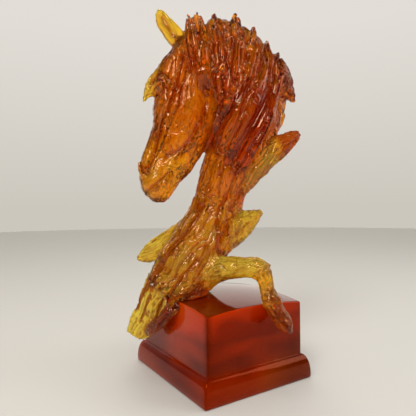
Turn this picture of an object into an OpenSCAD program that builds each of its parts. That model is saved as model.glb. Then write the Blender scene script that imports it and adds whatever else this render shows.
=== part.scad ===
// Rearing horse figurine in amber cast crystal glass, on a moulded glass plinth.
// Origin: centre of the plinth's ground underside. +Z is up, -Y is the front.

/* [Plinth] */
// Width of the plinth block, left to right
block_w = 106; // [104:1:112]
// Depth of the plinth block, front to back
block_d = 122; // [118:1:126]
// Height of the block's top corners above the table
block_top = 71; // [68:1:72]
// Height of the moulded foot under the block
foot_h = 22; // [16:1:26]
// How far the foot stands out beyond the block
foot_out = 6.5; // [4:0.5:9]
// Height of the foot's upright lip, below its rounded shoulder
foot_lip = 5; // [3:0.5:8]
// Radius of the shallow dome on the block's top
dome_r = 390; // [360:10:460]

/* [Figure] */
// Turn of the horse on its plinth, in degrees
figure_turn = 33; // [31:0.5:35]
// How far the horse stands to the left of the plinth's centre, along its profile
figure_left = 1; // [0:0.5:3]
// Thickness of the clear adhesive film under the horse
film_t = 0.4; // [0.2:0.1:0.8]

/* [Quality] */
// Sides of each horse section
ring_sides = 16; // [12:2:20]
// Rings from one station to the next
ring_steps = 2; // [1:1:3]

/* [Hidden] */

// The dome is a sphere through the block's four top corners.
corner_r = norm([block_w, block_d]) / 2;
dome_centre_z = block_top - sqrt(dome_r * dome_r - corner_r * corner_r);
dome_sides = 200;

// A station is [x, y, z, half width, half depth], in the horse's own frame:
// x along its profile, y away from the viewer, z up.
head_path = [
    [-21, 4, 331, 15, 12], [-26, 2, 310, 24, 19], [-29, 0, 287, 31, 23],
    [-30, -1, 266, 33, 25], [-32, -3, 245, 32, 23], [-40, -6, 226, 29, 19],
    [-49, -9, 208, 26, 15], [-55, -12, 195, 22.5, 14], [-57, -14, 181, 17, 14],
    [-57, -15, 173, 13, 11], [-57, -15, 166.5, 5, 4]
];
// The head's middle leans towards the viewer below this height, and this far at the muzzle.
lean_from_z = 245;
muzzle_z = 180;
lean_at_muzzle = 15;

// Relief on the left of the head: the crest down the cheek, the eye and the nostril.
face_crest_path = [
    [-29, -16, 311, 2, 2], [-33, -21, 294, 4, 3.5], [-39, -22, 276, 4, 3.5],
    [-46, -21, 258, 4, 3.5], [-53, -20, 240, 3.5, 3], [-58, -18, 226, 2, 2]
];
eye_path = [
    [-56, -13, 287, 1, 1], [-54, -16, 284, 5, 4], [-52, -17, 279, 6.5, 5],
    [-50, -17, 274, 5, 4], [-48, -16, 271, 1, 1]
];
nostril_path = [
    [-72, -15, 208, 1, 1], [-72, -17, 205, 5, 4], [-71, -19, 199, 6, 5],
    [-69, -19, 193, 5, 4], [-68, -18, 190, 1, 1]
];
left_ear_path = [
    [-32, -9, 321, 8, 5], [-39, -11, 328, 9.5, 5.5], [-45, -12, 336, 9, 5.5],
    [-51, -12, 343, 7.5, 5], [-54, -11, 351, 5, 3.5], [-56, -10, 356, 1.5, 1.5]
];
right_ear_path = [
    [-26, 17, 318, 8, 5], [-25, 20, 328, 9, 5.5], [-23, 23, 336, 8, 5],
    [-22, 24, 343, 6, 4], [-21, 25, 350, 1.5, 1.5]
];
left_ear_hollow_path = [
    [-40, -15, 328, 2, 1], [-43, -17, 332, 5, 3], [-48, -18, 339, 5.5, 3.5],
    [-52, -16, 346, 3.5, 3], [-54, -14, 351, 1, 1]
];
right_ear_hollow_path = [
    [-25, 24, 324, 2, 1], [-24, 27, 329, 5, 3], [-23, 28, 336, 4.5, 3],
    [-22, 28, 342, 3, 2.5], [-21, 27, 346, 1, 1]
];
forelock_path = [
    [-29, 2, 326, 8, 9], [-38, 1, 314, 8, 10], [-48, 1, 303, 7.5, 9], [-56, 1, 296, 7.5, 7],
    [-62.5, 1, 288, 7.5, 5.5], [-67.5, 1, 279, 6, 4.5], [-71, 1, 273, 4, 3], [-73.5, 1, 268, 1.5, 1.5]
];
// The trunk runs from the poll down to the plinth: the neck first, then the chest.
trunk_path = [
    [-13, 3, 333, 23, 14], [11, 3, 320, 31, 19], [28, 3, 297, 36, 22],
    [35, 2, 266, 35, 25], [27, 1, 236, 33, 27], [17, 0, 208, 31, 27],
    [7, -1, 186, 27, 23], [1, -2, 166, 25, 20], [-6, -4, 146, 28, 20],
    [-16, -8, 125, 30, 21], [-28, -12, 105, 32, 21], [-38, -15, 89, 31, 20],
    [-45, -17, 76, 27, 18]
];
neck_stations = 7;
left_mane_paths = [
    [[-18, -17, 280, 3, 3], [-19, -21, 291, 7, 6], [-21, -22, 310, 8, 8],
     [-24, -16, 329, 7.5, 8], [-25, -7, 344, 6, 6], [-27, -4, 354, 2, 2]],
    [[-9, -19, 268, 3, 3], [-10, -23, 279, 7.5, 6], [-13, -24, 301, 8, 8],
     [-15, -17, 324, 8, 8], [-17, -8, 343, 7, 6], [-18, -4, 356, 2, 2]],
    [[7, -20, 250, 3, 3], [6, -24, 264, 8.5, 6], [3, -26, 290, 9, 8],
     [1, -19, 317, 9, 8], [-1, -8, 341, 9, 7], [-1, -3, 356, 2, 2]],
    [[-1, -19, 226, 3, 3], [3, -24, 240, 8.5, 6], [12, -28, 271, 9, 8],
     [18, -22, 302, 9.5, 8], [20, -10, 332, 10, 7], [20, -3, 354, 2, 2]],
    [[0, -19, 209, 3, 3], [6, -25, 226, 8.5, 6], [20, -29, 257, 9, 8],
     [30, -23, 287, 9, 8], [36, -12, 317, 9, 7], [38, -4, 340, 2, 2]],
    [[7, -19, 196, 3, 3], [14, -25, 213, 8.5, 6], [29, -29, 245, 9, 8],
     [41, -24, 273, 9, 8], [48, -13, 303, 9, 7], [51, -4, 327, 2, 2]],
    [[14, -18, 188, 3, 3], [23, -25, 205, 8.5, 6], [39, -28, 234, 9, 8],
     [50, -23, 261, 9, 8], [58, -13, 290, 9, 7], [62, -4, 315, 2, 2]]
];
right_mane_paths = [
    [[-16, 17, 280, 3, 3], [-17, 22, 291, 8.5, 7], [-19, 24, 308, 8.5, 8],
     [-21, 19, 324, 8, 8], [-21, 14, 337, 6, 6], [-21, 13, 343, 2, 2]],
    [[-1, 19, 269, 3, 3], [-2, 24, 282, 9.5, 7], [-5, 26, 303, 9.5, 8],
     [-7, 21, 322, 9, 8], [-8, 15, 338, 7, 6], [-8, 14, 344, 2, 2]],
    [[11, 21, 248, 3, 3], [11, 26, 261, 9.5, 7], [10, 28, 290, 9.5, 8],
     [10, 22, 316, 10, 8], [10, 14, 336, 8, 7], [11, 13, 343, 2, 2]],
    [[9, 21, 230, 3, 3], [14, 27, 244, 9.5, 7], [22, 30, 273, 9.5, 8],
     [27, 24, 302, 10, 8], [29, 15, 325, 8, 7], [30, 14, 334, 2, 2]],
    [[12, 21, 213, 3, 3], [19, 28, 229, 9.5, 7], [33, 30, 258, 9.5, 8],
     [41, 24, 285, 10, 8], [44, 15, 310, 8, 7], [45, 14, 321, 2, 2]],
    [[19, 21, 201, 3, 3], [28, 28, 217, 9.5, 7], [44, 29, 246, 9.5, 8],
     [53, 24, 273, 10, 8], [56, 15, 298, 8, 7], [57, 14, 308, 2, 2]],
    [[26, 20, 193, 3, 3], [36, 26, 208, 9.5, 7], [56, 26, 235, 10, 8],
     [64, 21, 259, 10, 7], [66, 14, 283, 7, 6], [66, 12, 294, 2, 2]]
];
lock_count = len(left_mane_paths);
nape_flick_path = [
    [52, -6, 309, 6, 7], [57, -6, 301, 10, 11], [63, -5, 291, 12, 12],
    [69, -4, 280, 10, 9], [76, -3, 269, 4, 4], [79, -3, 266, 1.5, 1.5]
];
upper_streamer_path = [
    [11, -4, 175, 9, 8], [22, -9, 187, 15, 11], [33, -11, 199, 16, 11], [45, -12, 209, 14.5, 9],
    [58, -12, 217, 12, 8], [70, -11, 226, 9.5, 6], [79, -10, 232, 5.5, 4], [82, -10, 234, 3, 2.5]
];
lower_streamer_path = [
    [5, -8, 136, 19, 12], [19, -8, 142, 17, 10], [30, -8, 148, 11.5, 8],
    [39, -7, 154, 7, 5.5], [45, -7, 157, 3, 2.5]
];
left_streamer_path = [
    [-23, 0, 140, 14, 12], [-39, 2, 132, 13, 10], [-54, 4, 123, 13, 8],
    [-68, 5, 115, 11, 6], [-77, 5, 111, 7, 4.5], [-83, 5, 110, 2.5, 2]
];
drape_path = [
    [-39, -16, 92, 26, 13], [-50, -15, 79, 24, 9], [-61, -13, 65, 20, 7],
    [-70, -11, 53, 16.5, 6], [-77, -9, 43, 13, 5], [-82, -8, 35, 10, 4]
];
ruffle_path = [
    [-10, -26, 83, 4, 5], [-22, -32, 80, 6, 7], [-37, -37, 73, 7, 7], [-47, -35, 64, 7, 7],
    [-56, -29, 54, 7, 6.5], [-63, -22, 46, 6, 5.5], [-68, -16, 40, 3, 3]
];
// The raised foreleg: upper leg to the knee, lower leg to the fetlock, then the hoof.
foreleg_path = [
    [-20, -14, 96, 16, 14], [-5, -20, 101, 14.5, 13], [10, -27, 104, 11.5, 11],
    [24, -34, 106, 10, 10], [34, -39, 106, 10, 10], [39, -42, 104, 9.5, 9.5],
    [42, -44, 95, 7.5, 8], [44, -47, 86, 7.5, 7.5], [47, -51, 77, 8.5, 8.5],
    [51, -54, 69, 8.5, 8.5], [55, -57, 62, 8, 8.5], [59, -60, 56, 5.5, 8], [61, -62, 52, 2.5, 5]
];
knee_station = 5;
fetlock_station = 8;

glass_amber = "darkorange";
glass_pale = "gold";
glass_red = "sienna";

// Catmull-Rom curve from b to c, with a before and d after.
function curve(a, b, c, d, t) =
    0.5 * (2 * b + (c - a) * t + (2 * a - 5 * b + 4 * c - d) * t * t
        + (3 * b - a - 3 * c + d) * t * t * t);

// The stations with ring_steps rings from each one to the next.
function refined(s) = [
    for (i = [0 : len(s) - 2], k = [0 : ring_steps - 1])
        curve(s[max(i - 1, 0)], s[i], s[i + 1], s[min(i + 2, len(s) - 1)], k / ring_steps),
    s[len(s) - 1]
];

// How far the head's middle stands towards the viewer at height z.
function head_lean(z) = lean_at_muzzle * max(0, lean_from_z - z) / (lean_from_z - muzzle_z);

// The same stations on the other side of the head.
function far_side(path) = [
    for (s = path) [s[0], -s[1] - 2 * head_lean(s[2]), s[2], s[3], s[4]]
];

function place(r) = [r[0], r[1], r[2]];
function unit(v) = v / norm(v);

// One ring of points around station i of a refined path.
function ring(path, i) =
    let (
        last = len(path) - 1,
        along = unit(place(path[min(i + 1, last)]) - place(path[max(i - 1, 0)])),
        deep = unit([0, 1, 0] - along * along[1]),
        side = cross(along, deep)
    )
    [for (k = [0 : ring_sides - 1])
        place(path[i])
            + side * path[i][3] * cos(360 * k / ring_sides)
            + deep * path[i][4] * sin(360 * k / ring_sides)];

// A closed solid through the rings from station first to station last.
module swept(stations, first = 0, last = -1) {
    path = refined(stations);
    from = first * ring_steps;
    to = last < 0 ? len(path) - 1 : last * ring_steps;
    n = ring_sides;
    rings = to - from;
    points = [for (i = [from : to]) each ring(path, i)];
    sides = [for (i = [0 : rings - 1], k = [0 : n - 1])
        let (a = i * n + k, b = i * n + (k + 1) % n)
        each [[a, b, a + n], [b, b + n, a + n]]];
    caps = [for (k = [1 : n - 2])
        each [[0, k + 1, k], [rings * n, rings * n + k, rings * n + k + 1]]];
    polyhedron(points, concat(sides, caps));
}

// Turns the horse's own frame onto the plinth.
module on_plinth() {
    rotate([0, 0, -figure_turn]) translate([-figure_left, 0, 0]) children();
}

// The block's space with its domed top raised by lift and its sides grown by lift.
module plinth_space(lift = 0) {
    intersection() {
        translate([-block_w / 2 - lift, -block_d / 2 - lift, 0])
            cube([block_w + 2 * lift, block_d + 2 * lift, 2 * block_top]);
        translate([0, 0, dome_centre_z])
            sphere(r = dome_r + lift, $fn = dome_sides);
    }
}

// Half outline of the foot: a rounded shoulder over an upright lip.
module foot_outline(half) {
    shoulder = foot_h - foot_lip;
    steps = 8;
    polygon(concat(
        [[-half - foot_out, 0], [half + foot_out, 0]],
        [for (k = [0 : steps]) let (t = 90 * k / steps)
            [half + foot_out * cos(t), foot_lip + shoulder * sin(t)]],
        [for (k = [steps : -1 : 0]) let (t = 90 * k / steps)
            [-half - foot_out * cos(t), foot_lip + shoulder * sin(t)]]
    ));
}

module plinth_block() {
    color(glass_red)
        intersection() {
            plinth_space();
            translate([-block_w, -block_d, foot_h])
                cube([2 * block_w, 2 * block_d, block_top]);
        }
}

module plinth_foot() {
    color(glass_red)
        intersection() {
            translate([0, block_d, 0]) rotate([90, 0, 0])
                linear_extrude(2 * block_d) foot_outline(block_w / 2);
            translate([-block_w, 0, 0]) rotate([90, 0, 90])
                linear_extrude(2 * block_w) foot_outline(block_d / 2);
        }
}

module trunk(first, last) { on_plinth() swept(trunk_path, first, last); }
module head_body() { on_plinth() swept(head_path); }
module head_relief() {
    for (path = [face_crest_path, eye_path, nostril_path]) on_plinth() {
        swept(path);
        swept(far_side(path));
    }
}
module neck_body() { trunk(0, neck_stations); }
module chest_body() { trunk(neck_stations, len(trunk_path) - 1); }
module drape_body() { on_plinth() swept(drape_path); }

// The adhesive lies between the chest's foot and the dome.
module bond_film() {
    color("white", 0.5)
        difference() {
            intersection() {
                chest_body();
                plinth_space(film_t);
            }
            plinth_space();
        }
}

module chest() {
    color(glass_amber) difference() { chest_body(); plinth_space(film_t); }
}
module neck() {
    color(glass_amber) difference() { neck_body(); head_body(); }
}
module head() {
    color(glass_amber) { head_body(); head_relief(); }
}
module left_ear() {
    color(glass_pale)
        difference() {
            on_plinth() swept(left_ear_path);
            on_plinth() swept(left_ear_hollow_path);
            head_body();
            neck_body();
        }
}
module right_ear() {
    color(glass_pale)
        difference() {
            on_plinth() swept(right_ear_path);
            on_plinth() swept(right_ear_hollow_path);
            head_body();
            neck_body();
        }
}
module forelock() {
    color(glass_pale)
        difference() {
            on_plinth() swept(forelock_path);
            head_body();
            head_relief();
            on_plinth() swept(left_ear_path);
        }
}

// One lock of the mane on the horse's left side, clear of the one before it.
module left_mane_lock(i) {
    color(glass_amber)
        difference() {
            on_plinth() swept(left_mane_paths[i - 1]);
            head_body();
            neck_body();
            if (i > 1) on_plinth() swept(left_mane_paths[i - 2]);
        }
}

// One lock on the right side, clear of the one before it and of the left locks beside it.
module right_mane_lock(i) {
    color(glass_amber)
        difference() {
            on_plinth() swept(right_mane_paths[i - 1]);
            head_body();
            neck_body();
            on_plinth() swept(left_mane_paths[i - 1]);
            if (i < lock_count) on_plinth() swept(left_mane_paths[i]);
            if (i > 1) on_plinth() swept(right_mane_paths[i - 2]);
            if (i == 1) on_plinth() swept(right_ear_path);
        }
}

module nape_flick() {
    color(glass_amber)
        difference() {
            on_plinth() swept(nape_flick_path);
            neck_body();
            for (i = [lock_count - 3 : lock_count - 1]) {
                on_plinth() swept(left_mane_paths[i]);
                on_plinth() swept(right_mane_paths[i]);
            }
        }
}
module upper_streamer() {
    color(glass_pale)
        difference() {
            on_plinth() swept(upper_streamer_path);
            neck_body();
            on_plinth() swept(left_mane_paths[lock_count - 1]);
        }
}
module lower_streamer() {
    color(glass_pale)
        difference() { on_plinth() swept(lower_streamer_path); chest_body(); neck_body(); }
}
module left_streamer() {
    color(glass_pale)
        difference() { on_plinth() swept(left_streamer_path); chest_body(); neck_body(); }
}
module trailing_drape() {
    color(glass_pale)
        difference() {
            drape_body();
            chest_body();
            plinth_space(film_t);
            on_plinth() swept(left_streamer_path);
        }
}
module drape_ruffle() {
    color(glass_red)
        difference() {
            on_plinth() swept(ruffle_path);
            chest_body();
            drape_body();
            plinth_space(film_t);
        }
}
module foreleg_upper() {
    color(glass_pale)
        difference() { on_plinth() swept(foreleg_path, 0, knee_station); chest_body(); }
}
module foreleg_lower() {
    color(glass_pale) on_plinth() swept(foreleg_path, knee_station, fetlock_station);
}
module foreleg_hoof() {
    color(glass_amber) on_plinth() swept(foreleg_path, fetlock_station);
}

plinth_block();
plinth_foot();
bond_film();
chest();
neck();
head();
left_ear();
right_ear();
forelock();
left_mane_lock(1);  // left_mane_lock_1
left_mane_lock(2);  // left_mane_lock_2
left_mane_lock(3);  // left_mane_lock_3
left_mane_lock(4);  // left_mane_lock_4
left_mane_lock(5);  // left_mane_lock_5
left_mane_lock(6);  // left_mane_lock_6
left_mane_lock(7);  // left_mane_lock_7
right_mane_lock(1);  // right_mane_lock_1
right_mane_lock(2);  // right_mane_lock_2
right_mane_lock(3);  // right_mane_lock_3
right_mane_lock(4);  // right_mane_lock_4
right_mane_lock(5);  // right_mane_lock_5
right_mane_lock(6);  // right_mane_lock_6
right_mane_lock(7);  // right_mane_lock_7
nape_flick();
upper_streamer();
lower_streamer();
left_streamer();
trailing_drape();
drape_ruffle();
foreleg_upper();
foreleg_lower();
foreleg_hoof();
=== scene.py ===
"""Rearing horse in amber cast crystal glass, bonded to a red-amber glass plinth."""
import math

import bmesh
import bpy
import numpy as np
import openvdb
from mathutils import Matrix, Vector


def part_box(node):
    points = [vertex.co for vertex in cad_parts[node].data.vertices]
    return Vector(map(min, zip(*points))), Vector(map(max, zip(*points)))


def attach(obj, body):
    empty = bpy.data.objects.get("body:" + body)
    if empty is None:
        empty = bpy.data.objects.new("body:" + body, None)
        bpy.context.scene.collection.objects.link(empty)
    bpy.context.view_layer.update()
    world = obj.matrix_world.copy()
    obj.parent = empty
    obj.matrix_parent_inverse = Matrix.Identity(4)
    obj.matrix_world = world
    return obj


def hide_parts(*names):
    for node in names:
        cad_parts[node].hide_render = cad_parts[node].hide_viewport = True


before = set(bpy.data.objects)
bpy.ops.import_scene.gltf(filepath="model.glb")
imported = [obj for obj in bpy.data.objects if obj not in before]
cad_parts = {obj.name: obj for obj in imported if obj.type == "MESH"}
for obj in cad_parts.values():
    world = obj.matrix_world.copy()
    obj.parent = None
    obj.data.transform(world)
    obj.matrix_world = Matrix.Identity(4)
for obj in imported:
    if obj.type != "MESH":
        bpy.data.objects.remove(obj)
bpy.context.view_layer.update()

MM = 0.001
BODY = "root"
PLINTH_NODES = ("plinth_block", "plinth_foot")
FILM_NODE = "bond_film"
HORSE_NODES = sorted(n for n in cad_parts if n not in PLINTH_NODES and n != FILM_NODE)

# Camera: where the eye stands and how it is turned.
EYE_AT = Vector((-0.229, -0.3366, 0.160))
YAW, PITCH, ROLL = math.radians(32.84), math.radians(0.1), math.radians(-0.5)
LENS_MM, SENSOR_MM = 35, 36

# The horse's profile is turned by this much on its plinth.
FIGURE_TURN = math.radians(33)

# Sculpting grid: the voxel's side, and how many voxels of true distance each surface keeps.
VOXEL = 0.8 * MM
BAND = 7


# ---------------------------------------------------------------- noise

NOISE_TABLE = 256


def gradient_noise(points, seed):
    """Smooth noise from about -1 to 1 at each row of points, with a unit cell."""
    rng = np.random.RandomState(seed)
    order = rng.permutation(NOISE_TABLE)
    arrows = rng.normal(size=(NOISE_TABLE, 3))
    arrows /= np.linalg.norm(arrows, axis=1)[:, None]
    cell = np.floor(points).astype(np.int64)
    inside = points - cell
    ease = inside ** 3 * (inside * (inside * 6 - 15) + 10)
    wrap = NOISE_TABLE - 1
    total = np.zeros(len(points))
    for corner in np.ndindex(2, 2, 2):
        at = (cell + corner) & wrap
        key = order[(order[(order[at[:, 0]] + at[:, 1]) & wrap] + at[:, 2]) & wrap]
        value = ((inside - corner) * arrows[key]).sum(1)
        weight = np.where(corner, ease, 1 - ease).prod(1)
        total += value * weight
    full_range = 1.6
    return total * full_range


def folded_noise(points, seed):
    """Sharp valleys between round ridges, from 0 in a valley to 1 on a ridge."""
    steepness = 2.2
    return np.minimum(np.abs(gradient_noise(points, seed)) * steepness, 1)


def contour_ridges(points, rings, seed):
    """Curling ridges along the contour lines of a smooth noise, 0 in a valley to 1 on a ridge."""
    wave = gradient_noise(points, seed) * rings
    return np.abs(wave - np.rint(wave)) * 2


# ---------------------------------------------------------------- meshes

def mesh_arrays(obj):
    """Vertices and triangles of a mesh object as numpy arrays."""
    mesh = obj.data
    mesh.calc_loop_triangles()
    points = np.empty(len(mesh.vertices) * 3, np.float32)
    mesh.vertices.foreach_get("co", points)
    triangles = np.empty(len(mesh.loop_triangles) * 3, np.int32)
    mesh.loop_triangles.foreach_get("vertices", triangles)
    return points.reshape(-1, 3), triangles.reshape(-1, 3).astype(np.uint32)


def quad_edges(quads):
    """Each edge of a closed mesh of quads, once in each direction."""
    return np.concatenate([quads[:, [0, 1]], quads[:, [1, 2]], quads[:, [2, 3]], quads[:, [3, 0]]])


def outer_skin(points, quads):
    """The largest connected piece of a mesh, without the small bubbles left inside it."""
    ends = quad_edges(quads)
    label = np.arange(len(points))
    while True:
        lowest = label.copy()
        np.minimum.at(lowest, ends[:, 0], label[ends[:, 1]])
        lowest = lowest[lowest]
        if (lowest == label).all():
            break
        label = lowest
    kept = label == np.bincount(label).argmax()
    new_index = np.cumsum(kept) - 1
    return points[kept], new_index[quads[kept[quads[:, 0]]]]


def smooth_values(values, quads, rounds):
    """Averages a value over each point's neighbours."""
    ends = quad_edges(quads)
    count = np.bincount(ends[:, 0], minlength=len(values)) + 1.0
    for _ in range(rounds):
        total = np.bincount(ends[:, 0], weights=values[ends[:, 1]], minlength=len(values))
        values = (values + total) / count
    return values


def add_object(name, data):
    """Adds an object to the scene."""
    obj = bpy.data.objects.new(name, data)
    bpy.context.scene.collection.objects.link(obj)
    return obj


def store_values(mesh, name, values):
    """Stores a number for each point of a mesh, which a material can read."""
    attribute = mesh.attributes.new(name, "FLOAT", "POINT")
    attribute.data.foreach_set("value", np.asarray(values, np.float32))


# ---------------------------------------------------------------- clay

def profile_axes(points):
    """Points in the horse's own frame: x along its profile, y away from the viewer, z up."""
    c, s = math.cos(FIGURE_TURN), math.sin(FIGURE_TURN)
    return np.stack([points[:, 0] * c - points[:, 1] * s,
                     points[:, 0] * s + points[:, 1] * c, points[:, 2]], 1)


class Clay:
    """A box of signed distances, in voxels, that solids are merged into and cut from."""

    # How far from a point its normal is sampled, in voxels.
    NORMAL_STEP = 0.7
    # How far the hem's noise moves along each of its axes for one width across the hem.
    HEM_SLANT = [1, 0.3, 0.7]
    HEM_SEED = 8

    def __init__(self, low, high):
        self.start = np.floor(np.array(low) / VOXEL).astype(int) - BAND - 2
        stop = np.ceil(np.array(high) / VOXEL).astype(int) + BAND + 3
        self.distance = np.full(tuple(stop - self.start), float(BAND), np.float32)
        self.owner = np.zeros(tuple(stop - self.start), np.int16)

    def level_set(self, obj):
        """Distances to one CAD node, in a box around it: (its place in the clay, distances)."""
        points, triangles = mesh_arrays(obj)
        grid = openvdb.FloatGrid.createLevelSetFromPolygons(
            points / VOXEL, triangles=triangles, halfWidth=float(BAND))
        low = np.floor(points.min(0) / VOXEL).astype(int) - BAND - 1
        high = np.ceil(points.max(0) / VOXEL).astype(int) + BAND + 2
        low = np.maximum(low, self.start)
        high = np.minimum(high, self.start + self.distance.shape)
        array = np.empty(tuple(high - low), np.float32)
        grid.copyToArray(array, ijk=tuple(int(v) for v in low))
        place = tuple(slice(a, b) for a, b in zip(low - self.start, high - self.start))
        return place, array

    def merge(self, obj, index, fillet):
        """Joins a node to the clay with a fillet of about that many metres."""
        place, new = self.level_set(obj)
        old = self.distance[place]
        self.owner[place][new < old] = index
        blend = fillet / VOXEL
        share = np.clip(0.5 + 0.5 * (old - new) / blend, 0, 1)
        old[...] = old * (1 - share) + new * share - blend * share * (1 - share)

    def cut(self, obj, gap):
        """Removes whatever comes closer than gap metres to a node."""
        place, keep_out = self.level_set(obj)
        part = self.distance[place]
        np.maximum(part, gap / VOXEL - keep_out, out=part)

    def tear(self, index, width, depth):
        """Tears a ragged hem along the bottom of one merged node."""
        x, y, z = np.nonzero(self.owner == index)
        places = (np.stack([x, y, z], 1) + self.start) * VOXEL
        across = profile_axes(places)[:, [0, 0, 0]] / width
        notches = 1 - folded_noise(across * self.HEM_SLANT, self.HEM_SEED)
        hem = places[:, 2].min() + depth * notches
        part = self.distance[x, y, z]
        self.distance[x, y, z] = np.maximum(part, (hem - places[:, 2]) / VOXEL)

    def surface(self):
        """Points in metres, quads, outward normals and each point's owner."""
        grid = openvdb.FloatGrid(float(BAND))
        grid.copyFromArray(np.ascontiguousarray(self.distance))
        points, _, quads = grid.convertToPolygons(isovalue=0.0, adaptivity=0.0)
        points, quads = outer_skin(points, quads)
        cell = np.clip(np.rint(points).astype(int), 1, np.array(self.distance.shape) - 2)
        owner = self.owner[tuple(cell.T)]
        normals = np.stack([
            self.sample(points + step) - self.sample(points - step)
            for step in self.NORMAL_STEP * np.eye(3)], 1)
        normals /= np.linalg.norm(normals, axis=1)[:, None] + 1e-9
        return (points + self.start) * VOXEL, quads, normals, owner

    def sample(self, points):
        """Distances between the voxels' centres."""
        low = np.clip(np.floor(points).astype(int), 0, np.array(self.distance.shape) - 2)
        part = np.clip(points - low, 0, 1)
        total = np.zeros(len(points))
        for corner in np.ndindex(2, 2, 2):
            at = low + corner
            weight = np.where(corner, part, 1 - part).prod(1)
            total += self.distance[tuple(at.T)] * weight
        return total


# ---------------------------------------------------------------- the horse's sections

# The sections that the others are merged into, in their order.
FIRST_NODES = ["neck", "chest", "head"]
# How far each kind of section is filleted into the ones before it, in mm.
FILLETS = {"mane": 0.8, "streamer": 6, "head": 1.5, "trunk": 0.6, "leg": 5, "ear": 2}
# The drape's torn hem: the width and the depth of its notches.
HEM_WIDTH, HEM_DEPTH = 7 * MM, 9 * MM
# The gap that the adhesive fills between the horse and the plinth.
PLINTH_GAP = 0.45 * MM
# The number of slices that a section's centreline is found from.
SPINE_SLICES = 8

# How deep, how wide and how long the combed grooves of each kind of section are, in mm, the
# share of finer grooves between them, how deep its curls are and how far its thickness wanders.
GROOVES = {
    "mane": (3.6, 9.0, 120, 0.14, 0.0, 0.8),
    "streamer": (1.4, 3.2, 44, 0.5, 0.45, 1.0),
    "head": (0.8, 4.0, 20, 0.35, 0.55, 1.5),
    "trunk": (1.5, 5.6, 36, 0.35, 0.4, 1.6),
    "leg": (1.2, 3.4, 40, 0.5, 0.5, 1.2),
    "ear": (0.5, 3.6, 30, 0.3, 0.15, 0.4),
}
# How far the grooves' noise moves along each of its axes for one length along a section.
SLANT = np.array([0.6, 0.6, 0.5])
# How far a smooth noise bends the grooves, in groove widths, and that noise's cell in mm.
BEND, BEND_MM, BEND_SEED = 0.7, 26, 11
# The seeds of the first section's grooves, and how much finer the fine ones are.
COARSE_SEED, FINE_SEED, FINENESS = 3, 40, 2.3
# The curls' contour lines to each unit of their noise, and its cell in mm.
CURL_RINGS, CURL_MM, CURL_SEED = 4, 13, 70
# The cell in mm of the noise that the thickness follows.
SWELL_MM, SWELL_SEED = 19, 90
# The depths in mm at which each kind of section's creases start to take painted shade, and at which
# that painted shade is darkest.
PAINTED_SHADE_DEPTHS = {
    "mane": (0, 3.6), "streamer": (0.3, 2.4), "head": (0, 2.4), "trunk": (0, 2.4),
    "leg": (0.3, 2.4), "ear": (0, 2.4),
}


def kind_of(node):
    """The kind of section that a horse node is."""
    if "mane" in node:
        return "mane"
    if "streamer" in node or "drape" in node or node in ("nape_flick", "forelock"):
        return "streamer"
    if node.endswith("_ear"):
        return "ear"
    if "leg" in node:
        return "leg"
    return "head" if node == "head" else "trunk"


def spine(node):
    """The centreline of a long CAD node: the middle of each slice across its length."""
    points, triangles = mesh_arrays(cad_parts[node])
    centres = points[triangles].mean(1)
    middle = centres.mean(0)
    long_way = np.linalg.svd(centres - middle, full_matrices=False)[2][0]
    if long_way[2] < 0:
        long_way = -long_way
    along = (centres - middle) @ long_way
    edges = np.linspace(along.min(), along.max() + 1e-6, SPINE_SLICES + 1)
    rows = [centres[(along >= a) & (along < b)] for a, b in zip(edges, edges[1:])]
    return np.array([(r.min(0) + r.max(0)) / 2 for r in rows if len(r)])


def flow_places(points, line):
    """Each point's distance along a polyline, and its offset from it."""
    best = np.full(len(points), np.inf)
    along = np.zeros(len(points))
    offset = np.zeros_like(points)
    walked = 0.0
    for a, b in zip(line, line[1:]):
        step = b - a
        length = np.linalg.norm(step)
        share = np.clip((points - a) @ step / length ** 2, 0, 1)
        away = points - a - share[:, None] * step
        size = np.linalg.norm(away, axis=1)
        nearer = size < best
        best[nearer] = size[nearer]
        along[nearer] = (walked + share * length)[nearer]
        offset[nearer] = away[nearer]
        walked += length
    return along, offset


def comb(points, owner, order):
    """Places that flow along each section, how deep its grooves cut and how far it swells."""
    flow = np.zeros_like(points)
    cut = np.zeros(len(points))
    swell = np.zeros(len(points))
    for index, node in enumerate(order):
        mine = owner == index
        depth, width, length, fine_share, curl, wander = GROOVES[kind_of(node)]
        here = points[mine]
        along, offset = flow_places(here, spine(node))
        place = offset / (width * MM) + (along / (length * MM))[:, None] * SLANT
        place += BEND * gradient_noise(here / (BEND_MM * MM), BEND_SEED)[:, None]
        coarse = folded_noise(place, COARSE_SEED + index)
        fine = folded_noise(place * FINENESS, FINE_SEED + index)
        curls = contour_ridges(here / (CURL_MM * MM), CURL_RINGS, CURL_SEED)
        flow[mine] = place
        cut[mine] = depth * MM * ((1 - coarse) ** 2 + fine_share * (1 - fine) ** 2)
        cut[mine] += curl * MM * (1 - curls) ** 2
        swell[mine] = wander * MM * gradient_noise(here / (SWELL_MM * MM), SWELL_SEED)
    return flow, cut, swell


# ---------------------------------------------------------------- the horse's carved lines

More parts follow.
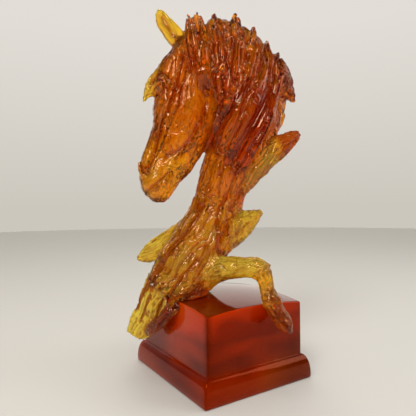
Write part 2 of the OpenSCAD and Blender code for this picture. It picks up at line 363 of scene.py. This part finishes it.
# Lines carved on both sides of the horse, as x and z in mm in its own frame, then their half
# width and depth in mm (a depth below 0 raises a ridge).
CARVED = {
    "face_crease": (
        [(-33, 310), (-37, 287), (-43, 263), (-52, 245), (-59, 223), (-66, 200)], 1.8, 2.8),
    "cheek_crease": ([(-28, 300), (-32, 280), (-37, 258), (-46, 238), (-54, 216)], 1.3, 1.2),
    "upper_lid": ([(-62, 280), (-58, 285), (-53, 284), (-50, 277)], 1.4, 2.0),
    "lower_lid": ([(-61, 274), (-57, 270), (-52, 272), (-50, 277)], 1.3, 1.6),
    "eyeball": ([(-59, 278), (-54, 279)], 2.4, -1.8),
    "brow": ([(-66, 286), (-59, 294), (-51, 292), (-46, 284)], 1.6, 1.4),
    "nostril": ([(-73, 203), (-71, 196), (-67, 195)], 2.0, 2.8),
    "mouth": ([(-70, 176), (-62, 181), (-54, 188), (-47, 195)], 1.3, 2.0),
    "jaw": ([(-49, 210), (-37, 216), (-26, 226), (-16, 242), (-10, 260)], 2.2, 1.6),
    "upper_band": ([(30, 280), (26, 272), (10, 250), (-2, 236), (-9, 222)], 5.0, 2.6),
    "lower_band": ([(50, 272), (43, 256), (31, 237), (19, 219), (10, 204)], 5.0, 2.6),
    "band_edge": ([(40, 278), (34, 262), (20, 241), (8, 224), (2, 208)], 1.6, -1.6),
    "throat_stroke": ([(19, 202), (11, 178), (-2, 153)], 1.6, 1.8),
    "nape_stroke": ([(36, 200), (24, 178), (12, 158)], 1.8, 2.0),
    "breast_crease": ([(0, 148), (-1, 130), (0, 119), (7, 113)], 1.8, 2.6),
    "girth_crease": ([(8, 106), (-10, 94), (-26, 83), (-41, 71)], 1.6, 2.4),
    "thigh_crease": ([(-20, 112), (-35, 96), (-50, 76)], 1.6, 2.2),
    "ear_hollow": ([(-41, 328), (-45, 334), (-50, 341), (-53, 348)], 3.6, 1.3),
    "ear_rim": ([(-36, 334), (-42, 342), (-49, 350), (-54, 353)], 1.6, -1.0),
    "back_edge": ([(-55, 110), (-62, 98), (-70, 86), (-76, 76), (-82, 64)], 2.2, 2.6),
    "long_stroke": ([(-52, 75), (-57, 66), (-61, 56)], 1.0, 2.0),
    "short_stroke": ([(-47, 65), (-52, 58), (-56, 52)], 1.0, 2.0),
    "hem_stroke": ([(-66, 78), (-72, 64), (-77, 50)], 1.0, 1.4),
    "shoulder_crease": ([(-15, 163), (-28, 141), (-44, 124), (-57, 107), (-65, 85)], 2.0, 2.8),
}
# The two bands of the neck that are left smooth, their half width in mm and how smooth they are.
SMOOTH_BANDS = ("upper_band", "lower_band")
SMOOTH_HALF_WIDTH = 7
SMOOTH_SHARE = 0.85


def closeness(places, name, half_width):
    """From 0 far from a carved line to 1 on it, for places in the horse's own frame."""
    path = np.array([(x, 0, z) for x, z in CARVED[name][0]]) * MM
    _, offset = flow_places(places * [1, 0, 1], path)
    return np.exp(-(offset ** 2).sum(1) / (half_width * MM) ** 2)


def carving(places):
    """How deep the carved lines cut at each place in the horse's own frame."""
    return sum(depth * MM * closeness(places, name, half_width)
               for name, (_, half_width, depth) in CARVED.items())


def carve(points, owner, order, cut):
    """The grooves' depth, less along the smooth bands, and with the carved lines added.

    The legs and the streamers stand out before and behind those lines, so they are left out.
    """
    left_out = [k for k, node in enumerate(order) if "leg" in node or "streamer" in node]
    body = ~np.isin(owner, left_out)
    places = profile_axes(points[body])
    cut = cut.copy()
    for name in SMOOTH_BANDS:
        cut[body] *= 1 - SMOOTH_SHARE * closeness(places, name, SMOOTH_HALF_WIDTH)
    cut[body] += carving(places)
    return cut


# ---------------------------------------------------------------- the horse's colour

# How yellow the glass is at the lower end, the middle and the upper end of each kind of
# section, from 0 where it is deep red to 1 where it is pale, and the nodes that differ.
PALENESS = {
    "mane": (0.55, 0.4, 0.1), "streamer": (0.8, 0.8, 0.8), "head": (0.6, 0.5, 0.2),
    "trunk": (0.5, 0.4, 0.2), "leg": (0.5, 0.7, 0.8), "ear": (0.8, 0.9, 0.9),
}
PALENESS_OF = {
    "chest": (0.85, 0.75, 0.4), "foreleg_upper": (1, 1, 1), "foreleg_hoof": (0, 0.1, 0.3),
    "nape_flick": (0.1, 0.05, 0), "upper_streamer": (0.3, 0.95, -0.9),
    "left_streamer": (1, 1, 0.6), "drape_ruffle": (0, 0.1, 0.1), "forelock": (1, 0.7, 0.25),
    "trailing_drape": (1, 1, 0.8), "left_mane_lock_5": (0.4, 0.3, 0.05),
    "left_mane_lock_6": (0.3, 0.15, 0), "left_mane_lock_7": (0.1, 0.05, 0),
}
# The sections with enough fine bubbles to glow, and how cloudy each is.
CLOUDINESS = {
    "trailing_drape": 0.75, "left_streamer": 0.55, "upper_streamer": 0.3,
    "foreleg_upper": 0.36, "lower_streamer": 0.25, "forelock": 0.3, "chest": 0.14,
}
# How many rounds of smoothing run the sections' paleness and cloudiness into each other.
PALE_ROUNDS, CLOUDY_ROUNDS = 30, 40
# Paler clouds in the glass: how pale, above which value of their noise, and its cell in mm.
CLOUD_SHARE, CLOUD_FLOOR, CLOUD_MM, CLOUD_SEED = 0.4, 0.15, 16, 21
# Paler and deeper streaks along the flow: how strong, and how fine beside the grooves.
STREAK_SHARE, STREAK_SCALE, STREAK_SEED = 0.4, 0.45, 33


def paleness(points, quads, owner, order, flow):
    """The pale and deep regions of the glass, run into each other, with clouds and streaks."""
    pale = np.zeros(len(points))
    for index, node in enumerate(order):
        mine = owner == index
        line = spine(node)
        along, _ = flow_places(points[mine], line)
        share = along / np.linalg.norm(np.diff(line, axis=0), axis=1).sum()
        stops = PALENESS_OF.get(node, PALENESS[kind_of(node)])
        pale[mine] = np.interp(share, (0, 0.5, 1), stops)
    pale = smooth_values(pale, quads, PALE_ROUNDS)
    clouds = gradient_noise(points / (CLOUD_MM * MM), CLOUD_SEED)
    pale += CLOUD_SHARE * np.maximum(clouds - CLOUD_FLOOR, 0)
    pale += STREAK_SHARE * gradient_noise(flow * STREAK_SCALE, STREAK_SEED)
    return np.clip(pale, 0, 1)


def cloudiness(quads, owner, order):
    """How cloudy the glass is at each point, from 0 to 1."""
    values = np.array([CLOUDINESS.get(node, 0.0) for node in order])[owner]
    return smooth_values(values, quads, CLOUDY_ROUNDS)


def painted_crease_shade(cut, quads, owner, order):
    """How much painted shade each crease gets in the colour, from 0 to 1."""
    light, dark = (np.array([PAINTED_SHADE_DEPTHS[kind_of(node)] for node in order])[owner] * MM).T
    return smooth_values(np.clip((cut - light) / (dark - light), 0, 1), quads, 1)


# ---------------------------------------------------------------- the horse

def run_together(order):
    """The clay of the whole horse: its sections merged in turn, its hem torn, its foot cut."""
    low = np.min([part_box(n)[0] for n in HORSE_NODES], axis=0)
    high = np.max([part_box(n)[1] for n in HORSE_NODES], axis=0)
    clay = Clay(low, high)
    for index, node in enumerate(order):
        clay.merge(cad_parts[node], index, FILLETS[kind_of(node)] * MM)
    clay.tear(order.index("trailing_drape"), HEM_WIDTH, HEM_DEPTH)
    clay.cut(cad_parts["plinth_block"], PLINTH_GAP)
    return clay


def sculpt_horse():
    """One continuous casting: the CAD sections run together, then combed and carved."""
    order = FIRST_NODES + [n for n in HORSE_NODES if n not in FIRST_NODES]
    points, quads, normals, owner = run_together(order).surface()
    flow, cut, swell = comb(points, owner, order)
    cut = carve(points, owner, order, cut)
    shift = swell - smooth_values(cut, quads, 1)

    mesh = bpy.data.meshes.new("horse_casting")
    mesh.from_pydata((points + normals * shift[:, None]).tolist(), [], quads.tolist())
    mesh.update()
    mesh.shade_smooth()
    attribute = mesh.attributes.new("flow", "FLOAT_VECTOR", "POINT")
    attribute.data.foreach_set("vector", flow.astype(np.float32).ravel())
    # The crease attribute is painted shade: how far each crease darkens the colour.
    store_values(mesh, "crease", painted_crease_shade(cut, quads, owner, order))
    store_values(mesh, "pale", paleness(points, quads, owner, order, flow))
    store_values(mesh, "cloudy", cloudiness(quads, owner, order))
    return add_object("horse_casting", mesh)


# ---------------------------------------------------------------- plinth

# The height of the foot's upright lip, and the rounding under it as how far each ring stands
# out past the lip and how high it is.
FOOT_LIP = 5 * MM
GROUND_EDGE = ((-1.5 * MM, 0), (-0.4 * MM, 0.5 * MM), (0, 1.6 * MM))
# The foot's rounded shoulder: its first and last angle and its number of rings.
SHOULDER = (0.12, 1.35, 10)
# The rings round the crease between the foot and the block: how far each stands out from the
# block's side, and how far above the crease it is.
CREASE_RINGS = ((0.25 * MM, -0.1 * MM), (0, 0.7 * MM))
# The block's sides: the first ring above the crease, the last ring's height and their number.
SIDE_START, SIDE_TOP, SIDE_RINGS = 4 * MM, 60 * MM, 8
# The block's worn top edge: its size, and its rings as shares of that size in and down.
TOP_EDGE = 1.2 * MM
TOP_EDGE_RINGS = ((0, 1), (0.1, 0.55), (0.45, 0.1), (1, 0))
# The domed top's rings, as shares of the outline.
DOME_RINGS = np.linspace(0.97, 0.05, 20)
# The corners' radius, and the steps along each side and round each corner.
CORNER_R = 1.8 * MM
SIDE_STEPS, CORNER_STEPS = 24, 4

# Where the plinth's colour is darkened, mostly as painted shade: how dark from 0 to 1, and how
# wide. Painted shade on its corners and its crease, a darker band round the block, painted shade
# below a height and on the foot, and darker towards its right side.
CORNER_SHADE, CORNER_WIDTH = 0.8, 3.5 * MM
CREASE_SHADE, CREASE_WIDTH = 0.6, 2 * MM
BAND_SHADE, BAND_WIDTH, BAND_HEIGHT = 0.35, 8 * MM, 40 * MM
LOW_SHADE, LOW_FADE, LOW_TOP = 0.62, 30 * MM, 60 * MM
FOOT_SHADE, RIGHT_SHADE = 0.65, 0.55
# The domed top, which has the darkest painted shade, standing in for the dark horse reflected in
# it, starts this far in from the block's sides.
TOP_MARGIN = 1 * MM


def fit_dome():
    """Radius of the dome through the block's centre and corners, and its centre's height."""
    low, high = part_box("plinth_block")
    points, _ = mesh_arrays(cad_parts["plinth_block"])
    above = points[points[:, 2] > low.z + 1 * MM]
    corner = above[np.argmax(above[:, 0] + above[:, 1])]
    rise = high.z - corner[2]
    reach = math.hypot(corner[0], corner[1])
    radius = (rise * rise + reach * reach) / (2 * rise)
    return radius, high.z - radius


DOME_R, DOME_CENTRE = fit_dome()


def dome_height(x, y):
    """Height of the block's domed top."""
    return DOME_CENTRE + math.sqrt(DOME_R ** 2 - x * x - y * y)


def rounded_rectangle(half_w, half_d):
    """Points round a rectangle with rounded corners, anticlockwise from the right side."""
    signs = ((1, -1), (1, 1), (-1, 1), (-1, -1))
    centres = [Vector((x * (half_w - CORNER_R), y * (half_d - CORNER_R))) for x, y in signs]
    quarter_turn = math.pi / 2
    ring = []
    for quarter, centre in enumerate(centres):
        last_angle = quarter * quarter_turn
        for k in range(CORNER_STEPS + 1):
            angle = last_angle - quarter_turn + k * quarter_turn / CORNER_STEPS
            ring.append(centre + CORNER_R * Vector((math.cos(angle), math.sin(angle))))
        outwards = Vector((math.cos(last_angle), math.sin(last_angle)))
        start = ring[-1]
        stop = centres[(quarter + 1) % 4] + CORNER_R * outwards
        ring += [start.lerp(stop, k / SIDE_STEPS) for k in range(1, SIDE_STEPS)]
    return ring


def bell(distance, width):
    """1 at no distance, falling to 0 a few widths away."""
    return math.exp(-(distance / width) ** 2)


def from_0_to_1(value):
    """The value, held between 0 and 1."""
    return min(max(value, 0), 1)


def plinth_shade(at, half_w, half_d, crease):
    """How much darker the glass is painted at a point, from 0 to 1, mostly as painted shade."""
    past_w, past_d = abs(at.x) - half_w, abs(at.y) - half_d
    # The domed top takes the full painted shade.
    if max(past_w, past_d) < -TOP_MARGIN:
        return 1
    corner = CORNER_SHADE * bell(past_w - past_d, CORNER_WIDTH)
    groove = CREASE_SHADE * bell(at.z - crease, CREASE_WIDTH)
    right = RIGHT_SHADE * from_0_to_1(at.x / half_w)
    if at.z < crease:
        return from_0_to_1(max(corner, groove, FOOT_SHADE + right))
    band = BAND_SHADE * bell(at.z - BAND_HEIGHT, BAND_WIDTH)
    low = LOW_SHADE * from_0_to_1((LOW_TOP - at.z) / LOW_FADE)
    return from_0_to_1(max(corner, groove, max(band, low) + right))


def build_plinth():
    """The block and its moulded foot as one casting with softly worn edges."""
    _, foot_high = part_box("plinth_foot")
    block_low, block_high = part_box("plinth_block")
    half_w, half_d = block_high.x, block_high.y
    out = foot_high.x - half_w
    crease = block_low.z
    profile = [(out + past, z) for past, z in GROUND_EDGE] + [(out, FOOT_LIP)]
    profile += [(out * math.cos(t), FOOT_LIP + (crease - FOOT_LIP) * math.sin(t))
                for t in np.linspace(*SHOULDER)]
    profile += [(past, crease + rise) for past, rise in CREASE_RINGS]
    profile += [(0, z) for z in np.linspace(crease + SIDE_START, SIDE_TOP, SIDE_RINGS)]

    rings = [[(p.x, p.y, z) for p in rounded_rectangle(half_w + past, half_d + past)]
             for past, z in profile]
    for inwards, down in TOP_EDGE_RINGS:
        inset, drop = inwards * TOP_EDGE, down * TOP_EDGE
        outline = rounded_rectangle(half_w - inset, half_d - inset)
        rings.append([(p.x, p.y, dome_height(p.x, p.y) - drop) for p in outline])
    top_outline = outline
    for scale in DOME_RINGS:
        places = [(p.x * scale, p.y * scale) for p in top_outline]
        rings.append([(x, y, dome_height(x, y)) for x, y in places])

    bm = bmesh.new()
    rings = [[bm.verts.new(place) for place in ring] for ring in rings]
    for lower, upper in zip(rings, rings[1:]):
        for k in range(len(lower)):
            j = (k + 1) % len(lower)
            bm.faces.new((lower[k], lower[j], upper[j], upper[k]))
    bm.faces.new(rings[-1])
    bm.faces.new(list(reversed(rings[0])))
    bmesh.ops.recalc_face_normals(bm, faces=bm.faces)
    mesh = bpy.data.meshes.new("plinth_casting")
    bm.to_mesh(mesh)
    bm.free()
    mesh.shade_smooth()
    # The shade attribute is mostly painted shade, darkening the plinth's colour.
    store_values(mesh, "shade", [plinth_shade(v.co, half_w, half_d, crease) for v in mesh.vertices])
    return add_object("plinth_casting", mesh)


# ---------------------------------------------------------------- shader nodes

# The sockets of a colour Mix node, whose names aren't unique.
MIX_FACTOR, MIX_FIRST, MIX_SECOND, MIX_RESULT = 0, 6, 7, 2


def new_material(name):
    """A material, its nodes and links, and its shader."""
    material = bpy.data.materials.new(name)
    material.use_nodes = True
    nodes, links = material.node_tree.nodes, material.node_tree.links
    return material, nodes, links, nodes["Principled BSDF"]


def add_bump(nodes, links, shader, vector, scale, detail, depth, strength):
    """Fine relief from a noise texture."""
    noise = nodes.new("ShaderNodeTexNoise")
    noise.inputs["Scale"].default_value = scale
    noise.inputs["Detail"].default_value = detail
    links.new(vector, noise.inputs["Vector"])
    bump = nodes.new("ShaderNodeBump")
    bump.inputs["Strength"].default_value = strength
    bump.inputs["Distance"].default_value = depth
    links.new(noise.outputs["Fac"], bump.inputs["Height"])
    links.new(bump.outputs["Normal"], shader.inputs["Normal"])


def colour_ramp(nodes, links, value, stops):
    """A colour that follows a value through (position, colour) stops."""
    ramp = nodes.new("ShaderNodeValToRGB")
    ramp.color_ramp.elements.remove(ramp.color_ramp.elements[1])
    for k, (position, colour) in enumerate(stops):
        stop = ramp.color_ramp.elements[0] if k == 0 else ramp.color_ramp.elements.new(1)
        stop.position = position
        stop.color = (*colour, 1)
    links.new(value, ramp.inputs["Fac"])
    return ramp.outputs["Color"]


def attribute_ramp(nodes, links, name, stops):
    """A colour that follows a value stored on the mesh."""
    value = nodes.new("ShaderNodeAttribute")
    value.attribute_name = name
    return colour_ramp(nodes, links, value.outputs["Fac"], stops)


def multiply(nodes, links, first, second):
    """The product of two colours."""
    product = nodes.new("ShaderNodeMix")
    product.data_type = "RGBA"
    product.blend_type = "MULTIPLY"
    product.inputs[MIX_FACTOR].default_value = 1
    links.new(first, product.inputs[MIX_FIRST])
    links.new(second, product.inputs[MIX_SECOND])
    return product.outputs[MIX_RESULT]


def map_range(nodes, links, value, source, target):
    """A value carried from the source range to the target range, and held inside it."""
    node = nodes.new("ShaderNodeMapRange")
    node.inputs["From Min"].default_value, node.inputs["From Max"].default_value = source
    node.inputs["To Min"].default_value, node.inputs["To Max"].default_value = target
    links.new(value, node.inputs["Value"])
    return node.outputs["Result"]


# ---------------------------------------------------------------- materials

GLASS_IOR = 1.52
WHITE = (1, 1, 1)

# The horse: its tint from deep to pale, the painted shade in its creases, and how clear it is.
HORSE_ABSORPTION, HORSE_DENSITY = (0.90, 0.68, 0.2), 100
HORSE_TINTS = [(0, (0.62, 0.13, 0.01)), (0.35, (1, 0.5, 0.02)), (1, (1, 0.79, 0.08))]
PAINTED_CREASE_TINTS = [(0.12, WHITE), (0.7, (0.42, 0.16, 0.06))]
CLEARNESS = [(0, (0.96, 0.96, 0.96)), (1, (0.3, 0.3, 0.3))]

# The plinth: its tint from dark to light clouds, and the tint of its shaded parts.
PLINTH_ABSORPTION, PLINTH_DENSITY = (0.95, 0.80, 0.0), 200
PLINTH_TINTS = [(0.35, (0.38, 0.014, 0.0004)), (0.5, (0.92, 0.052, 0.001)),
                (0.65, (1, 0.115, 0.002))]
SHADE_TINTS = [(0, WHITE), (1, (0.25, 0.2, 0.2))]
# Its clouds lie flat: their noise is wider across and finer in height.
CLOUD_STRETCH = (0.6, 0.6, 1.5)


def glass(name, absorb_colour, absorb_density, roughness):
    """Clear cast glass that takes its colour from its depth."""
    material, nodes, links, shader = new_material(name)
    shader.inputs["Base Color"].default_value = (*WHITE, 1)
    shader.inputs["Transmission Weight"].default_value = 1
    shader.inputs["IOR"].default_value = GLASS_IOR
    shader.inputs["Roughness"].default_value = roughness
    depth = nodes.new("ShaderNodeVolumeAbsorption")
    depth.inputs["Color"].default_value = (*absorb_colour, 1)
    depth.inputs["Density"].default_value = absorb_density
    links.new(depth.outputs["Volume"], nodes["Material Output"].inputs["Volume"])
    return material, nodes, links, shader


def horse_glass():
    """Amber glass whose tint varies along each section, with painted shade in its creases, cloudy
    in places.
    """
    material, nodes, links, shader = glass("amber_glass", HORSE_ABSORPTION, HORSE_DENSITY, 0.04)
    shader.inputs["Specular Tint"].default_value = (1, 0.7, 0.5, 1)
    flow = nodes.new("ShaderNodeAttribute")
    flow.attribute_name = "flow"
    add_bump(nodes, links, shader, flow.outputs["Vector"],
             scale=3, detail=1.5, depth=0.6 * MM, strength=0.6)
    body = attribute_ramp(nodes, links, "pale", HORSE_TINTS)
    # Painted shade: the creases darken the glass's colour.
    painted_shade_colour = attribute_ramp(nodes, links, "crease", PAINTED_CREASE_TINTS)
    links.new(multiply(nodes, links, body, painted_shade_colour), shader.inputs["Base Color"])
    clear = attribute_ramp(nodes, links, "cloudy", CLEARNESS)
    links.new(clear, shader.inputs["Transmission Weight"])
    return material


def plinth_glass():
    """Cloudy red-amber glass: light scatters in it, so it glows and shows little through it."""
    material, nodes, links, shader = glass("plinth_glass", PLINTH_ABSORPTION, PLINTH_DENSITY, 0.05)
    shader.inputs["Transmission Weight"].default_value = 0.6
    shader.inputs["Specular Tint"].default_value = (1, 0.2, 0.03, 1)
    shader.inputs["Specular IOR Level"].default_value = 0.4
    place = nodes.new("ShaderNodeTexCoord")
    flat = nodes.new("ShaderNodeVectorMath")
    flat.operation = "MULTIPLY"
    flat.inputs[1].default_value = CLOUD_STRETCH
    links.new(place.outputs["Object"], flat.inputs[0])
    cloud = nodes.new("ShaderNodeTexNoise")
    cloud.inputs["Scale"].default_value = 16
    cloud.inputs["Detail"].default_value = 2
    links.new(flat.outputs["Vector"], cloud.inputs["Vector"])
    body = colour_ramp(nodes, links, cloud.outputs["Fac"], PLINTH_TINTS)
    # Painted shade darkens the plinth's colour at its corners, crease, lower part, foot and top.
    shade = attribute_ramp(nodes, links, "shade", SHADE_TINTS)
    links.new(multiply(nodes, links, body, shade), shader.inputs["Base Color"])
    add_bump(nodes, links, shader, place.outputs["Object"],
             scale=25, detail=2, depth=0.6 * MM, strength=0.3)
    return material


def adhesive():
    """Clear cured adhesive."""
    material, _, _, shader = new_material("adhesive")
    shader.inputs["Base Color"].default_value = (0.9, 0.87, 0.8, 1)
    shader.inputs["Transmission Weight"].default_value = 1
    shader.inputs["Roughness"].default_value = 0.1
    shader.inputs["IOR"].default_value = 1.5
    return material


# ---------------------------------------------------------------- stage

# The floor's radius in metres, and its colour.
FLOOR_RADIUS = 3
FLOOR_COLOUR = (0.56, 0.552, 0.518)

# The room's walls, from the floor's level up.
WALL_TINTS = [(0, (0.60, 0.57, 0.51)), (0.40, (0.76, 0.72, 0.67))]
# How bright the walls are to reflected and to refracted rays: how far a ray points to the far
# side, from -1 to 1, and the brightness between those two.
SHEEN_RANGE, SHEEN_STRENGTH = (0.3, 0.95), (0.06, 1.8)
THROUGH_RANGE, THROUGH_STRENGTH = (-0.3, 0.8), (0.4, 1.3)

# Each soft light: its place, what it points at, its size in metres, its watts and its colour.
SOFTBOXES = {
    "key": ((-0.9, -0.6, 1.1), (0, 0, 0.2), (0.45, 0.6), 12, (1, 0.97, 0.93)),
    "ceiling": ((0.1, 0.2, 1.3), (0, 0, 0.2), (0.12, 0.9), 2.5, (1, 0.93, 0.9)),
    "fill": ((0.9, -0.7, 0.7), (0, 0, 0.15), (0.6, 0.8), 4.5, (0.95, 0.97, 1)),
}


def add_camera():
    """The camera, at the photograph's place."""
    data = bpy.data.cameras.new("camera")
    data.lens = LENS_MM
    data.sensor_width = SENSOR_MM
    data.clip_start = 0.01
    camera = add_object("camera", data)
    camera.matrix_world = (
        Matrix.Translation(EYE_AT)
        @ Matrix.Rotation(-YAW, 4, "Z")
        @ Matrix.Rotation(math.pi / 2 + PITCH, 4, "X")
        @ Matrix.Rotation(ROLL, 4, "Z"))
    bpy.context.scene.camera = camera


def add_floor():
    """A plain pale floor."""
    bpy.ops.mesh.primitive_circle_add(vertices=96, radius=FLOOR_RADIUS, fill_type="NGON")
    floor = bpy.context.object
    floor.name = "floor"
    material, _, _, shader = new_material("floor")
    shader.inputs["Base Color"].default_value = (*FLOOR_COLOUR, 1)
    shader.inputs["Roughness"].default_value = 0.6
    floor.data.materials.append(material)


def add_softbox(name, place, aim, size, power, colour):
    """A rectangular soft light."""
    data = bpy.data.lights.new(name, "AREA")
    data.shape = "RECTANGLE"
    data.size, data.size_y = size
    data.energy = power
    data.color = colour
    light = add_object(name, data)
    light.location = place
    light.rotation_euler = (Vector(aim) - Vector(place)).to_track_quat("-Z", "Y").to_euler()


def add_room():
    """Pale walls, brighter above.

    Reflections see little but the far side, so the glass keeps its colour, and refracted rays
    see the far side a little brighter than the near side. All other rays see plain walls.
    """
    world = bpy.data.worlds.new("room")
    bpy.context.scene.world = world
    world.use_nodes = True
    nodes, links = world.node_tree.nodes, world.node_tree.links
    direction = nodes.new("ShaderNodeTexCoord").outputs["Generated"]
    split = nodes.new("ShaderNodeSeparateXYZ")
    links.new(direction, split.inputs["Vector"])
    walls = colour_ramp(nodes, links, split.outputs["Z"], WALL_TINTS)

    far_side = nodes.new("ShaderNodeVectorMath")
    far_side.operation = "DOT_PRODUCT"
    far_side.inputs[1].default_value = (math.sin(YAW), math.cos(YAW), 0.0)
    links.new(direction, far_side.inputs[0])
    farness = far_side.outputs["Value"]
    sheen = map_range(nodes, links, farness, SHEEN_RANGE, SHEEN_STRENGTH)
    through = map_range(nodes, links, farness, THROUGH_RANGE, THROUGH_STRENGTH)

    rays = nodes.new("ShaderNodeLightPath")
    refracted = nodes.new("ShaderNodeMix")
    refracted.inputs["A"].default_value = 1.0
    links.new(through, refracted.inputs["B"])
    links.new(rays.outputs["Is Transmission Ray"], refracted.inputs["Factor"])
    # Rays through rough glass count as glossy too, so only the others are reflections.
    reflected = nodes.new("ShaderNodeMath")
    reflected.operation = "GREATER_THAN"
    links.new(rays.outputs["Is Glossy Ray"], reflected.inputs[0])
    links.new(rays.outputs["Is Transmission Ray"], reflected.inputs[1])
    strength = nodes.new("ShaderNodeMix")
    links.new(refracted.outputs["Result"], strength.inputs["A"])
    links.new(sheen, strength.inputs["B"])
    links.new(reflected.outputs["Value"], strength.inputs["Factor"])
    links.new(walls, nodes["Background"].inputs["Color"])
    links.new(strength.outputs["Result"], nodes["Background"].inputs["Strength"])


def finish_piece(piece, material, nodes):
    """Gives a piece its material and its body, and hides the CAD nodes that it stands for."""
    piece.data.materials.append(material)
    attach(piece, BODY)
    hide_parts(*nodes)


bpy.context.scene.view_settings.view_transform = "Standard"
add_camera()
add_floor()
add_room()
for light_name, settings in SOFTBOXES.items():
    add_softbox(light_name, *settings)

finish_piece(sculpt_horse(), horse_glass(), HORSE_NODES)
finish_piece(build_plinth(), plinth_glass(), PLINTH_NODES)
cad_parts[FILM_NODE].data.materials.clear()
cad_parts[FILM_NODE].data.materials.append(adhesive())
